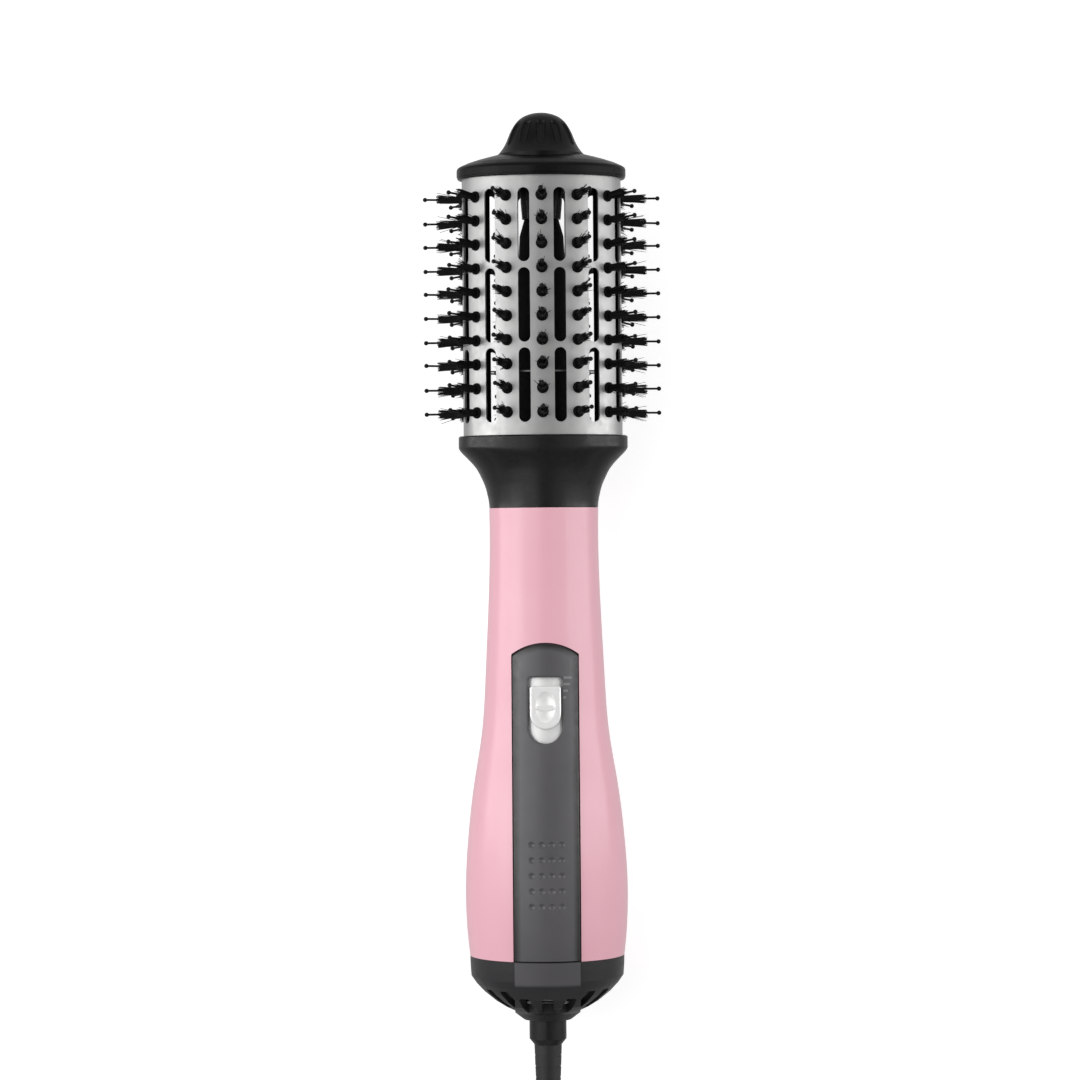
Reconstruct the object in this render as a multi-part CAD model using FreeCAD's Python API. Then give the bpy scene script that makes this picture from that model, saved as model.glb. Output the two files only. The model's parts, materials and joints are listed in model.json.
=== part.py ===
"""Hot air brush: oval ventilated barrel with bristle tufts, round handle, slide switch and swivel cord.

Every piece of the brush is drawn in the tool frame: the barrel's axis is Y with the tip at +Y, X is to the
right, +Z is the switch side, and Y = 0 is the joint between the neck collar and the handle. The brush lies on
its back: on export it is tilted until the lowest bristle tips and the handle's belly both rest on Z = 0.
The cord is drawn in the final frame, where Z = 0 is the surface that the brush lies on. Units: millimetres.
"""
import FreeCAD
import Part
import math
import os
from FreeCAD import Matrix, Placement, Rotation, Vector

# ---- handle ----
HANDLE_PROFILE = [(21.8, 0.0), (21.8, -21.0), (22.7, -45.0), (23.9, -68.8), (24.6, -81.0), (25.9, -93.0),
                  (27.9, -105.0), (29.7, -117.0), (31.1, -130.0), (32.15, -144.0), (32.4, -155.0),
                  (31.9, -168.0), (30.85, -178.4)]
HANDLE_END = -178.4
SHELL_WALL = 2.2
SHELF_Y = -50.0            # ring shelf that carries the heater
SHELF_THICK = 1.5
SHELF_R = 15.6
SCREWS = [(15.0, -56.0, -11.5), (18.0, -111.0, -15.5)]     # x, y and seat height of each pair of screws
SCREW_HEAD_R = 2.8
SCREW_HEAD_H = 2.0
SCREW_SHANK_R = 1.25
SCREW_TIP_Z = 8.0
FRONT_BOSS_R = 3.2
REAR_BOSS_R = 4.4
BOARD_POST_X = 11.0
BOARD_POST_Y = (-67.0, -99.0)
BOARD_POST_HALF = 1.5
BOARD_Z = (6.4, 8.0)       # underside and top of the control board
PARTING_GROOVE = (0.15, 0.3)  # half width and depth of the groove where the two shells meet

# ---- switch panel and slide switch ----
PANEL_HALF = 12.95
PANEL_TOP = -53.7
PANEL_CORNER_Y = -58.3
PANEL_CORNER_R = 1.8
PANEL_PROUD = 0.9
PANEL_INSET = 1.2
PANEL_GAP = 0.4
PANEL_ROUND = 0.75
PANEL_END_GAP = 0.45         # open joint between the panel and the end cap
WINDOW_HALF = 6.5
WINDOW_TOP = -66.9
WINDOW_BOTTOM = -92.9
DIMPLE_PITCH_X = 4.1
DIMPLE_PITCH_Y = 6.08
DIMPLE_TOP_Y = -132.1
DIMPLE_R = 1.35
DIMPLE_DEPTH = 0.6
DIMPLE_ROWS = 5
DIMPLE_COLUMNS = 4
SLIDE_ORIGIN_Y = -79.9
SLIDE_SLOPE = 5.0          # degrees between the slide track and the tool axis
TRAVEL_COOL = 2.6
TRAVEL_OFF = 5.2
PLATE_R = 22.9
PLATE_THICK = 0.8
PLATE_HALF = 7.1
BUTTON_HALF = 6.15
PLATE_TOP_Y = 17.4         # in the slide frame, from the window's centre
PLATE_BOTTOM_Y = -18.6
BUTTON_TOP_Y = 7.4
BUTTON_BOTTOM_Y = -9.65
LEVER_Y = (-3.6, -0.6)
BUTTON_Z = 26.1
BUTTON_DISH = (4.1, 6.3, 1.5)        # half axes of the hollow for the thumb
BUTTON_RIDGE = (4.2, 1.3, 1.6)       # half axes of the ridge across it
SHELL_SLOT = (8.25, -104.6, -57.4)                          # half width, y range

# ---- air inlet end cap ----
CAP_PROFILE = [(30.85, -178.4), (30.75, -182.0), (30.45, -186.4), (28.4, -189.4), (25.1, -192.9),
               (21.0, -196.3), (17.0, -198.8), (12.4, -201.0), (9.3, -203.6), (8.7, -204.2)]
CAP_INNER = [(26.8, -178.4), (26.8, -181.0), (28.0, -185.0), (26.3, -188.4), (23.2, -191.5), (19.2, -194.8),
             (15.4, -197.2), (11.4, -199.3), (9.5, -201.5)]
STRIP_PROFILE = [(31.75, -178.4), (31.7, -183.0), (31.55, -187.8), (30.2, -190.0), (27.1, -193.8),
                 (22.6, -197.4), (18.3, -199.4), (13.4, -201.3), (9.6, -204.2)]
STRIP_HALF = 12.95
SPIGOT_R = 28.4
SPIGOT_TOP = -172.4
CAP_BOTTOM = -204.2
CAP_FLOOR = -201.5
VENTS = 18                     # evenly round the cap; three of them are in the strip
STRIP_VENTS = (-1, 0, 1)
VENT_WIDTH = 4.6
VENT_CORNER = 1.0
VENT_TOP_Y = -186.0
STRIP_VENT_R = (16.4, 27.5)    # how far out the vents run from the axis
SIDE_VENT_R = (16.4, 27.0)
SCREEN_R = 23.1
SCREEN_Y = -190.2
SCREEN_RINGS = 5
SCREEN_HOLE_R = 0.9

# ---- swivel and strain relief ----
SWIVEL_R = 7.4
SWIVEL_TOP = -204.5
SWIVEL_END = -214.4
SWIVEL_NECK_R = 5.6
SWIVEL_PROFILE = [(SWIVEL_NECK_R, -198.5), (SWIVEL_NECK_R, -199.8), (SWIVEL_R, -199.8), (SWIVEL_R, -201.1),
                  (SWIVEL_NECK_R, -201.1), (SWIVEL_NECK_R, SWIVEL_TOP), (SWIVEL_R, SWIVEL_TOP),
                  (SWIVEL_R, -212.0)]
CAP_HOLE_R = 6.0
RELIEF_R = 5.5
RELIEF_TIP_R = 4.6
RELIEF_END = -240.0
RELIEF_GROOVES = 5
RELIEF_GROOVE_PITCH = 4.4
RELIEF_GROOVE = (0.6, 0.25)          # width and depth
CORD_R = 3.5

# ---- collar and barrel ----
NECK_R = 21.8
RIM_A = 33.8
RIM_B = 24.6
RIM_TOP = 28.8
FLARE = [(24.6, 33.8), (23.5, 33.55), (22.6, 32.95), (21.5, 31.95), (20.0, 30.4), (18.4, 28.9), (16.4, 27.2),
         (13.6, 25.5), (10.4, 24.0), (7.2, 22.9), (3.6, 22.1), (0.0, 21.8)]
COLLAR_GROOVE = (0.25, 0.35)       # width and depth of the joint line above the handle
BARREL_A = 31.8
BARREL_B = 22.4
BARREL_WALL = 0.8
BARREL_BOTTOM = 22.0
BARREL_TOP = 133.2
COLUMNS = 12
ROWS = 10
ROW_TOP = 123.4
ROW_PITCH = 9.51
SLOT_SPANS = [(97.1, 126.3), (65.4, 94.8), (33.8, 63.2)]
SLOT_WIDTH = 4.75
BOSS_R = 2.25
BOSS_RISE = 0.55
BOSS_DOME = 0.45
TUFT_LENGTH = 15.6
TUFT_BASE_R = 1.6
TUFT_TIP_R = 0.85
DISC_PROFILE = [(131.2, 33.1), (131.5, 33.5), (132.1, 33.5), (132.2, 33.8), (134.9, 33.8), (135.7, 33.5),
                (136.3, 32.7), (137.7, 29.6), (139.0, 25.6), (140.2, 21.2), (141.2, 17.2)]
KNOB_PROFILE = [(17.2, 141.3), (15.4, 143.5), (14.0, 146.0), (12.8, 149.0), (11.2, 152.2), (8.4, 155.5),
                (4.6, 157.4), (0.0, 158.0)]
KNOB_SEAT = 139.2
TIP_Y = KNOB_PROFILE[-1][1]
FLUTE_R = 2.3              # flutes round the cool tip knob
FLUTES = 12
FLUTE_ENDS = ((146.4, 15.5), (153.4, 11.75))
CARRIER_DEPTH = 1.4        # from the barrel's outer surface to the carrier bar
CARRIER_THICK = 4.2
CARRIER_HALF = 2.0
CARRIER_SPAN = (23.8, 130.4)
CLIP_RING_Y = 54.2
GUIDE_PROFILE = [(10.6, 22.1), (10.4, 60.0), (9.7, 90.0), (8.8, 108.6), (6.9, 115.2), (5.0, 115.2),
                 (5.0, 125.0)]
GUIDE_INNER = [(8.8, 20.0), (8.0, 90.0), (7.2, 108.0), (3.8, 114.0), (3.8, 118.9)]

# ---- heater, motor and fan ----
SLEEVE_R = 16.8
SLEEVE_WALL = 0.6
SLEEVE_TOP = 15.0
MICA_HALF = 16.1
MICA_THICK = 0.8
COIL_R = 13.2
COIL_WIRE_R = 0.45
COIL_PITCH = 4.8
COIL_TURNS = 9
SHAFT_R = 1.15
CAN_R = 12.6
CAN_TOP = -120.5
CAN_BOTTOM = -149.0
DUCT_R = 27.2
DUCT_INNER_R = 25.8
FAN_R = 24.9
FAN_TOP = -153.0
FAN_BOTTOM = -167.0
BLADES = 9
BLADE_ANGLE = 42.0
HUB_R = 9.0

# ---- free cord, in the final frame ----
LEAD_POINTS = [(-6.0, -232.0, 24.5), (-17.0, -249.0, 15.5), (-30.0, -268.0, 11.1)]
LEAD_START = 17.0                  # straight run out of the strain relief
COIL_CENTRE = (18.0, -296.0)
COIL_LIFT = 0.6                    # thickness of the tie under the coil
COIL_OUTER_TURN = 56.0
COIL_INNER_TURN = 28.0
COIL_LAYERS = 2
TIE_HALF = 4.0
TIE_THICK = 0.6
PLUG_SETBACK = 30.0                # from the coil's centre to the plug's cord entry
PLUG_NECK_R = 6.0
PLUG_HALF = 9.8
PLUG_RISE = 6.5
PLUG_Z = 6.6
PLUG_LENGTH = 36.0
BLADE_OFFSET = 6.35
BLADE_HALF = (0.75, 3.2)
BLADE_LENGTH = 17.5

BIG = 400.0
NODES = {}


# ---- small helpers ----
def polygon(points):
    """Closed face in the XY plane from (x, y) pairs."""
    corners = [Vector(x, y, 0) for x, y in points]
    return Part.Face(Part.makePolygon(corners + corners[:1]))


def turned(points):
    """Solid of revolution about Y from (radius, y) pairs."""
    return polygon(points).revolve(Vector(0, 0, 0), Vector(0, 1, 0), 360)


def rod(radius, y_low, y_high, x=0.0, z=0.0):
    """Cylinder along Y between two heights."""
    return Part.makeCylinder(radius, y_high - y_low, Vector(x, y_low, z), Vector(0, 1, 0))


def tube(outer, inner, y_low, y_high):
    return rod(outer, y_low, y_high).cut(rod(inner, y_low - 1, y_high + 1))


def box(x_low, x_high, y_low, y_high, z_low, z_high):
    return Part.makeBox(x_high - x_low, y_high - y_low, z_high - z_low, Vector(x_low, y_low, z_low))


def peg(radius, z_low, z_high, x, y):
    """Cylinder along Z between two heights."""
    return Part.makeCylinder(radius, z_high - z_low, Vector(x, y, z_low))


def ellipse_wire(a, b, y):
    """Upright ellipse around the Y axis: half width a along X, half depth b along Z."""
    centre = Vector(0, y, 0)
    if a >= b:
        curve = Part.Ellipse(Vector(a, y, 0), Vector(0, y, b), centre)
    else:
        curve = Part.Ellipse(Vector(0, y, b), Vector(-a, y, 0), centre)
    return Part.Wire(curve.toShape())


def oval(sections, smooth=False):
    """Solid through ellipses given as (y, a, b)."""
    return Part.makeLoft([ellipse_wire(a, b, y) for y, a, b in sections], True, not smooth)


def neck_depth(a):
    """Half depth of the collar where its half width is a: round at the neck, oval at the rim."""
    return NECK_R + (a - NECK_R) * (RIM_B - NECK_R) / (RIM_A - NECK_R)


def handle_curve(offset):
    curve = Part.BSplineCurve()
    curve.interpolate([Vector(r + offset, y, 0) for r, y in HANDLE_PROFILE])
    return curve


def handle_solid(offset=0.0):
    """The handle's outer form, moved outwards by offset, as a solid of revolution."""
    edge = handle_curve(offset).toShape()
    top, bottom = handle_curve(offset).StartPoint, handle_curve(offset).EndPoint
    axis_low, axis_high = Vector(0, bottom.y, 0), Vector(0, top.y, 0)
    sides = [Part.makeLine(bottom, axis_low), Part.makeLine(axis_low, axis_high),
             Part.makeLine(axis_high, top)]
    return Part.Face(Part.Wire([edge] + sides)).revolve(Vector(0, 0, 0), Vector(0, 1, 0), 360)


def handle_radius(y):
    """Radius of the handle at a height, from its own curve."""
    curve = handle_curve(0.0)
    low, high = curve.FirstParameter, curve.LastParameter
    for _ in range(50):
        middle = 0.5 * (low + high)
        if curve.value(middle).y > y:
            low = middle
        else:
            high = middle
    return curve.value(low).x


# ---- panel outlines ----
def arched_outline(half, top, corner_y, bottom):
    """Panel outline with a shallow arch at its top, as a face in the XY plane."""
    arch = Part.Arc(Vector(-half, corner_y, 0), Vector(0, top, 0), Vector(half, corner_y, 0)).toShape()
    sides = [Part.makeLine(Vector(half, corner_y, 0), Vector(half, bottom, 0)),
             Part.makeLine(Vector(half, bottom, 0), Vector(-half, bottom, 0)),
             Part.makeLine(Vector(-half, bottom, 0), Vector(-half, corner_y, 0))]
    return Part.Face(Part.Wire([arch] + sides))


def thumb_outline(half, top, bottom, corner):
    """Straight top with small corners and a half-round bottom, as a face in the XY plane."""
    bend = corner * (1.0 - math.sqrt(0.5))
    centre_y = bottom + half
    edges = [
        Part.makeLine(Vector(-half + corner, top, 0), Vector(half - corner, top, 0)),
        Part.Arc(Vector(half - corner, top, 0), Vector(half - bend, top - bend, 0),
                 Vector(half, top - corner, 0)).toShape(),
        Part.makeLine(Vector(half, top - corner, 0), Vector(half, centre_y, 0)),
        Part.Arc(Vector(half, centre_y, 0), Vector(0, bottom, 0), Vector(-half, centre_y, 0)).toShape(),
        Part.makeLine(Vector(-half, centre_y, 0), Vector(-half, top - corner, 0)),
        Part.Arc(Vector(-half, top - corner, 0), Vector(-half + bend, top - bend, 0),
                 Vector(-half + corner, top, 0)).toShape(),
    ]
    return Part.Face(Part.Wire(edges))


def panel_prism(extra=0.0):
    """Column above the panel's outline, widened by extra."""
    face = arched_outline(PANEL_HALF + extra, PANEL_TOP + extra, PANEL_CORNER_Y + extra, HANDLE_END - 1.0)
    prism = face.extrude(Vector(0, 0, BIG))
    corners = [edge for edge in prism.Edges
               if all(abs(v.Y - PANEL_CORNER_Y - extra) < 0.01 for v in edge.Vertexes)
               and edge.Length > BIG - 1.0]
    return prism.makeFillet(PANEL_CORNER_R, corners)


# ---- handle ----
def make_shells():
    wall = handle_solid().cut(handle_solid(-SHELL_WALL))
    shelf = tube(NECK_R - 0.5, SHELF_R, SHELF_Y - SHELF_THICK, SHELF_Y)
    wall = wall.fuse(shelf.common(handle_solid(-SHELL_WALL + 0.2)))
    front = wall.common(box(-BIG, BIG, -BIG, BIG, 0, BIG))
    rear = wall.common(box(-BIG, BIG, -BIG, BIG, -BIG, 0))
    pocket = panel_prism(PANEL_GAP).cut(handle_solid(-PANEL_INSET - 0.05))
    half, low, high = SHELL_SLOT
    front = front.cut([pocket, box(-half, half, low, high, 0, BIG)])
    core = handle_solid(-1.4)
    for x, y, seat in SCREWS:
        for side in (-x, x):
            front = front.fuse(peg(FRONT_BOSS_R, 0, BIG, side, y).common(core))
            front = front.cut(peg(SCREW_SHANK_R + 0.05, -1, SCREW_TIP_Z + 0.5, side, y))
            rear = rear.fuse(peg(REAR_BOSS_R, -BIG, 0, side, y).common(core))
            rear = rear.cut(peg(SCREW_SHANK_R + 0.25, -BIG, 1, side, y))
            rear = rear.cut(peg(SCREW_HEAD_R + 0.3, -BIG, seat, side, y))
    post = BOARD_POST_HALF
    for x in (-BOARD_POST_X, BOARD_POST_X):
        for y in BOARD_POST_Y:
            rear = rear.fuse(box(x - post, x + post, y - post, y + post, -BIG, 0).common(core))
            stop = box(x - post, x + post, y - post, y + post, BOARD_Z[1], BIG).common(core)
            front = front.fuse(stop)
    half, depth = PARTING_GROOVE
    groove = handle_solid(0.5).cut(handle_solid(-depth)).common(box(-BIG, BIG, -BIG, BIG, -half, half))
    NODES["handle_front_shell"] = front.cut(groove)
    NODES["handle_rear_shell"] = rear.cut(groove)


def make_handle_screws():
    screws = []
    for x, y, seat in SCREWS:
        for side in (-x, x):
            head = peg(SCREW_HEAD_R, seat - SCREW_HEAD_H, seat, side, y)
            recess = [box(side - 1.6, side + 1.6, y - 0.35, y + 0.35, -BIG, seat - 1.0),
                      box(side - 0.35, side + 0.35, y - 1.6, y + 1.6, -BIG, seat - 1.0)]
            screws.append(head.fuse(peg(SCREW_SHANK_R, seat, SCREW_TIP_Z, side, y)).cut(recess))
    NODES["handle_screws"] = Part.makeCompound(screws)


def make_switch_panel():
    skin = handle_solid(PANEL_PROUD).common(panel_prism())
    skin = skin.cut(thumb_outline(WINDOW_HALF, WINDOW_TOP, WINDOW_BOTTOM, 1.2).extrude(Vector(0, 0, BIG)))
    skin = skin.common(box(-BIG, BIG, HANDLE_END + PANEL_END_GAP, BIG, 12.0, BIG))
    rim = [edge for edge in skin.Edges if outer_panel_edge(edge)]
    skin = skin.makeFillet(PANEL_ROUND, rim)
    panel = skin.cut(handle_solid(-PANEL_INSET))
    dimples = []
    ball_r = (DIMPLE_R ** 2 + DIMPLE_DEPTH ** 2) / (2 * DIMPLE_DEPTH)
    for row in range(DIMPLE_ROWS):
        y = DIMPLE_TOP_Y - row * DIMPLE_PITCH_Y
        for column in range(DIMPLE_COLUMNS):
            x = (column - 0.5 * (DIMPLE_COLUMNS - 1)) * DIMPLE_PITCH_X
            surface = math.sqrt((handle_radius(y) + PANEL_PROUD) ** 2 - x ** 2)
            dimples.append(Part.makeSphere(ball_r, Vector(x, y, surface - DIMPLE_DEPTH + ball_r)))
    NODES["switch_panel"] = panel.cut(dimples)


def outer_panel_edge(edge):
    """True for the edges along the panel's outer skin, but not where it meets the end cap."""
    points = edge.discretize(5)
    on_skin = all(abs(math.hypot(p.x, p.z) - handle_radius(p.y) - PANEL_PROUD) < 0.05 for p in points)
    at_end = all(abs(p.y - HANDLE_END - PANEL_END_GAP) < 0.01 for p in points)
    return on_skin and not at_end


# ---- slide switch, drawn in a frame whose Y is the slide track and whose origin is the window's centre ----
SLIDE_PLACE = Placement(Vector(0, SLIDE_ORIGIN_Y, 0), Rotation(Vector(1, 0, 0), -SLIDE_SLOPE))


def make_slide_switch():
    plate = tube(PLATE_R, PLATE_R - PLATE_THICK, PLATE_BOTTOM_Y, PLATE_TOP_Y)
    plate = plate.common(box(-PLATE_HALF, PLATE_HALF, -BIG, BIG, 0, BIG))
    lever = box(-1.2, 1.2, LEVER_Y[0], LEVER_Y[1], 12.6, PLATE_R - 0.5 * PLATE_THICK)
    plate = plate.fuse(lever)
    outline = thumb_outline(BUTTON_HALF, BUTTON_TOP_Y, BUTTON_BOTTOM_Y, 1.0)
    button = outline.extrude(Vector(0, 0, BUTTON_Z))
    rim = [edge for edge in button.Edges if all(abs(v.Z - BUTTON_Z) < 0.01 for v in edge.Vertexes)]
    button = button.makeFillet(0.7, rim).cut(rod(PLATE_R, -BIG, BIG))
    middle_y = 0.5 * (BUTTON_TOP_Y + BUTTON_BOTTOM_Y) + 0.3
    stretch = Matrix()
    stretch.scale(*BUTTON_DISH)
    dish = Part.makeSphere(1.0).transformGeometry(stretch)
    dish.translate(Vector(0, middle_y, BUTTON_Z + 0.2))
    button = button.cut(dish)
    stretch = Matrix()
    stretch.scale(*BUTTON_RIDGE)
    ridge = Part.makeSphere(1.0).transformGeometry(stretch)
    ridge.translate(Vector(0, middle_y - 0.4, BUTTON_Z - 1.0))
    button = button.fuse(ridge.common(outline.extrude(Vector(0, 0, BUTTON_Z))))
    for name, shape in (("switch_slide_plate", plate), ("switch_button", button)):
        shape.Placement = SLIDE_PLACE
        NODES[name] = shape


def make_control_board():
    top = BOARD_Z[1]
    board = box(-13.0, 13.0, -103.0, -62.0, *BOARD_Z)
    for x in (-BOARD_POST_X, BOARD_POST_X):
        for y in BOARD_POST_Y:
            board = board.cut(peg(0.8, 0, 20, x, y))
    diodes = [rod(1.3, -101.5, -96.5, x, 9.3) for x in (-4.5, -1.5, 1.5, 4.5)]
    capacitor = box(7.4, 12.4, -92.0, -78.0, top, 13.5)
    resistor = rod(1.6, -90.0, -80.0, -9.5, 9.6)
    NODES["control_board"] = Part.makeCompound([board, capacitor, resistor] + diodes)
    body = box(-6.0, 6.0, -95.0, -66.0, top, 16.6)
    body = body.cut(box(-1.6, 1.6, -88.2, -75.2, 11.8, BIG))
    NODES["slide_switch_body"] = body


# ---- air inlet end cap ----
def strip_solid(profile, half):
    """The part of a turned form within a strip on the switch side."""
    form = turned(profile + [(0.0, profile[-1][1]), (0.0, profile[0][1])])
    return form.common(box(-half, half, -BIG, BIG, 0, BIG))


def vent_cutter(angle, r_low, r_high):
    """Radial slot along the axis, with small corners at its outer end, at an angle from the switch side."""
    half = 0.5 * VENT_WIDTH
    cutter = box(-half, half, CAP_BOTTOM - 10, VENT_TOP_Y, r_low, r_high)
    corners = [edge for edge in cutter.Edges if all(abs(v.Z - r_high) < 0.01 for v in edge.Vertexes)
               and edge.Length > VENT_WIDTH + 1.0]
    cutter = cutter.makeFillet(VENT_CORNER, corners)
    cutter.rotate(Vector(0, 0, 0), Vector(0, 1, 0), angle)
    return cutter


def make_end_cap():
    pitch = 360.0 / VENTS
    side_vents = [vent_cutter(pitch * k, *SIDE_VENT_R) for k in range(2, VENTS - 1)]
    strip_vents = [vent_cutter(pitch * k, *STRIP_VENT_R) for k in STRIP_VENTS]
    cap = turned(CAP_PROFILE + [(0.0, CAP_BOTTOM), (0.0, HANDLE_END)]).cut(side_vents)
    cap = cap.fuse(strip_solid(STRIP_PROFILE, STRIP_HALF))
    cap = cap.fuse(rod(SPIGOT_R, HANDLE_END - 1.0, SPIGOT_TOP))
    inner = turned(CAP_INNER + [(0.0, CAP_FLOOR), (0.0, HANDLE_END)])
    mouth = rod(SPIGOT_R - 1.6, HANDLE_END - 0.5, SPIGOT_TOP + 1)
    cap = cap.cut([inner, mouth, rod(CAP_HOLE_R, CAP_BOTTOM - 5, CAP_FLOOR + 1)])
    NODES["inlet_end_cap"] = cap.cut(strip_vents)
    screen = tube(SCREEN_R, 10.2, SCREEN_Y - 0.6, SCREEN_Y)
    holes = []
    for ring in range(SCREEN_RINGS):
        radius = 12.0 + 2.4 * ring
        count = int(2 * math.pi * radius / 2.9)
        for k in range(count):
            turn = 2 * math.pi * k / count
            x, z = radius * math.sin(turn), radius * math.cos(turn)
            holes.append(rod(SCREEN_HOLE_R, SCREEN_Y - 2, SCREEN_Y + 1, x, z))
    NODES["inlet_filter_screen"] = screen.cut(holes)


def make_swivel():
    retainer = tube(9.3, 7.8, -201.5, -197.9).fuse(tube(9.3, CAP_HOLE_R, -199.4, -197.9))
    NODES["swivel_retainer"] = retainer
    sleeve = turned([(0, SWIVEL_PROFILE[0][1])] + SWIVEL_PROFILE + [(RELIEF_R, SWIVEL_END), (0, SWIVEL_END)])
    bore = rod(CORD_R + 0.1, SWIVEL_END - 1, -190)
    NODES["swivel_sleeve"] = sleeve.cut(bore)
    relief = turned([(0, SWIVEL_END), (RELIEF_R, SWIVEL_END), (RELIEF_TIP_R, RELIEF_END), (0, RELIEF_END)])
    width, depth = RELIEF_GROOVE
    for k in range(RELIEF_GROOVES):
        y = SWIVEL_END - 4.0 - RELIEF_GROOVE_PITCH * k
        radius = RELIEF_R + (RELIEF_TIP_R - RELIEF_R) * (SWIVEL_END - y) / (SWIVEL_END - RELIEF_END)
        relief = relief.cut(tube(radius + 1.0, radius - depth, y - width, y))
    NODES["strain_relief"] = relief.fuse(rod(CORD_R, SWIVEL_END, -198.0))


# ---- neck collar, barrel and tip ----
def make_collar():
    rim = oval([(RIM_TOP, RIM_A - 0.5, RIM_B - 0.5), (RIM_TOP - 0.5, RIM_A, RIM_B),
                (FLARE[0][0], RIM_A, RIM_B)])
    flare = oval([(y, a, neck_depth(a)) for y, a in FLARE], smooth=True)
    spigot = rod(19.3, -9.0, 1.0)
    wall = 2.6
    inside = [(y, a) for y, a in FLARE if a < 32.5]
    passage = oval([(y, a - wall, neck_depth(a) - wall) for y, a in inside], smooth=True)
    y, a = inside[0]
    passage = passage.fuse(oval([(BARREL_BOTTOM + 0.5, 29.6, 20.6), (y, a - wall, neck_depth(a) - wall)]))
    seat = oval([(BARREL_BOTTOM, BARREL_A + 0.1, BARREL_B + 0.1), (30.0, BARREL_A + 0.1, BARREL_B + 0.1)])
    width, depth = COLLAR_GROOVE
    groove = tube(NECK_R + 2.0, NECK_R - depth, 0.0, width)
    collar = rim.fuse([flare, spigot])
    NODES["neck_collar"] = collar.cut([passage, seat, rod(17.9, -20, 2), groove])


def barrel_point(share):
    """Place and outward direction at a share of the way round the oval barrel, from the switch side."""
    steps = 2400
    lengths = [0.0]
    for k in range(steps):
        t = 2 * math.pi * (k + 0.5) / steps
        lengths.append(lengths[-1] + math.hypot(BARREL_A * math.cos(t), BARREL_B * math.sin(t)))
    target = share * lengths[-1]
    k = min(range(steps + 1), key=lambda i: abs(lengths[i] - target))
    t = 2 * math.pi * k / steps
    normal = Vector(math.sin(t) / BARREL_A, 0, math.cos(t) / BARREL_B).normalize()
    return Vector(BARREL_A * math.sin(t), 0, BARREL_B * math.cos(t)), normal


def row_heights():
    return [ROW_TOP - k * ROW_PITCH for k in range(ROWS)]


def across(point, normal, y, low, high, radius):
    """Cylinder along the barrel's outward direction, between two distances from its surface."""
    return Part.makeCylinder(radius, high - low, Vector(point.x, y, point.z) + normal * low, normal)


def stadium_cutter(point, normal, y_low, y_high):
    """Round-ended slot through the barrel's wall."""
    half = 0.5 * SLOT_WIDTH
    side = Vector(0, 1, 0).cross(normal)
    corner = point + normal * -6.0 - side * half + Vector(0, y_low + half, 0)
    slab = Part.makeBox(SLOT_WIDTH, y_high - y_low - SLOT_WIDTH, 12.0)
    turn = Rotation(side, Vector(0, 1, 0), normal, "XYZ")
    slab.Placement = Placement(corner, turn)
    ends = [across(point, normal, y, -6.0, 6.0, half) for y in (y_low + half, y_high - half)]
    return slab.fuse(ends)


def make_barrel():
    outer = oval([(BARREL_BOTTOM, BARREL_A, BARREL_B), (BARREL_TOP, BARREL_A, BARREL_B)])
    a, b = BARREL_A - BARREL_WALL, BARREL_B - BARREL_WALL
    barrel = outer.cut(oval([(BARREL_BOTTOM - 1, a, b), (BARREL_TOP + 1, a, b)]))
    cutters = []
    for column in range(COLUMNS):
        point, normal = barrel_point(column / COLUMNS)
        cutters += [across(point, normal, y, -4.0, 4.0, BOSS_R + 0.07) for y in row_heights()]
        point, normal = barrel_point((column + 0.5) / COLUMNS)
        cutters += [stadium_cutter(point, normal, low, high) for low, high in SLOT_SPANS]
    NODES["barrel_tube"] = barrel.cut(cutters)


def make_bristles():
    for column in range(COLUMNS):
        point, normal = barrel_point(column / COLUMNS)
        side = Vector(0, 1, 0).cross(normal)
        low, high = CARRIER_SPAN
        bar = Part.makeBox(2 * CARRIER_HALF, high - low, CARRIER_THICK)
        corner = point - normal * (CARRIER_DEPTH + CARRIER_THICK) - side * CARRIER_HALF + Vector(0, low, 0)
        bar.Placement = Placement(corner, Rotation(side, Vector(0, 1, 0), normal, "XYZ"))
        bosses, tufts = [], []
        dome_base = BOSS_RISE
        dome_top = BOSS_RISE + BOSS_DOME
        ball = TUFT_LENGTH - TUFT_TIP_R
        for y in row_heights():
            foot = Vector(point.x, y, point.z)
            bosses.append(across(point, normal, y, -CARRIER_DEPTH - 0.5, dome_base, BOSS_R))
            bosses.append(Part.makeCone(BOSS_R, TUFT_BASE_R, BOSS_DOME, foot + normal * dome_base, normal))
            pin = Part.makeCone(TUFT_BASE_R, TUFT_TIP_R, ball - dome_top, foot + normal * dome_top, normal)
            tufts.append(pin.fuse(Part.makeSphere(TUFT_TIP_R, foot + normal * ball)))
        number = "%02d" % (column + 1)
        NODES["bristle_strip_" + number] = bar.fuse(bosses)
        NODES["bristle_tufts_" + number] = Part.makeCompound(tufts)


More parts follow.
